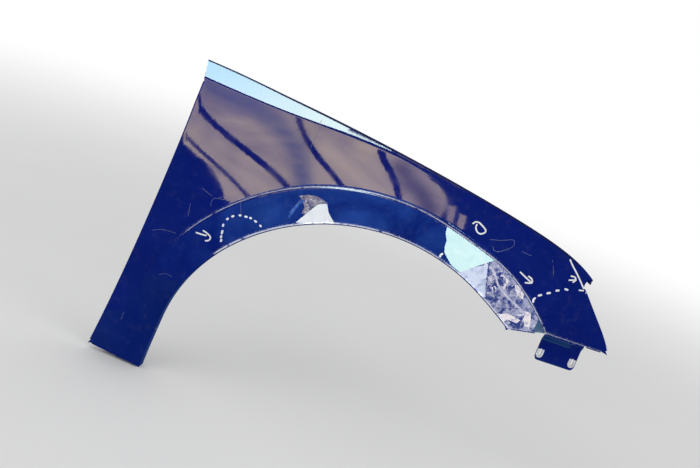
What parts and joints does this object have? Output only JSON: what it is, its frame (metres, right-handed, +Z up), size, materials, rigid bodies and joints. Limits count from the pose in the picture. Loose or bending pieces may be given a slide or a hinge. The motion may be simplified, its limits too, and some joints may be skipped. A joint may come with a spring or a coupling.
{
  "type": "car front fender",
  "caption": "Right-hand front fender of a car, pressed from sheet steel, with a flared wheel arch, folded edge flanges and fixing pads.",
  "frame": {"origin": "middle of the underside of the third hood-side fixing pad from the rear, between its two slots", "axes": "+X towards the front of the car, +Y inboard, so -Y is the outer painted side, +Z up as fitted to the car"},
  "size_m": [0.911, 0.1366, 0.5886],
  "materials": {
    "navy_paint": "gloss"
  },
  "bodies": {
    "root": {"fender_panel": "navy_paint"}
  },
  "joints": []
}
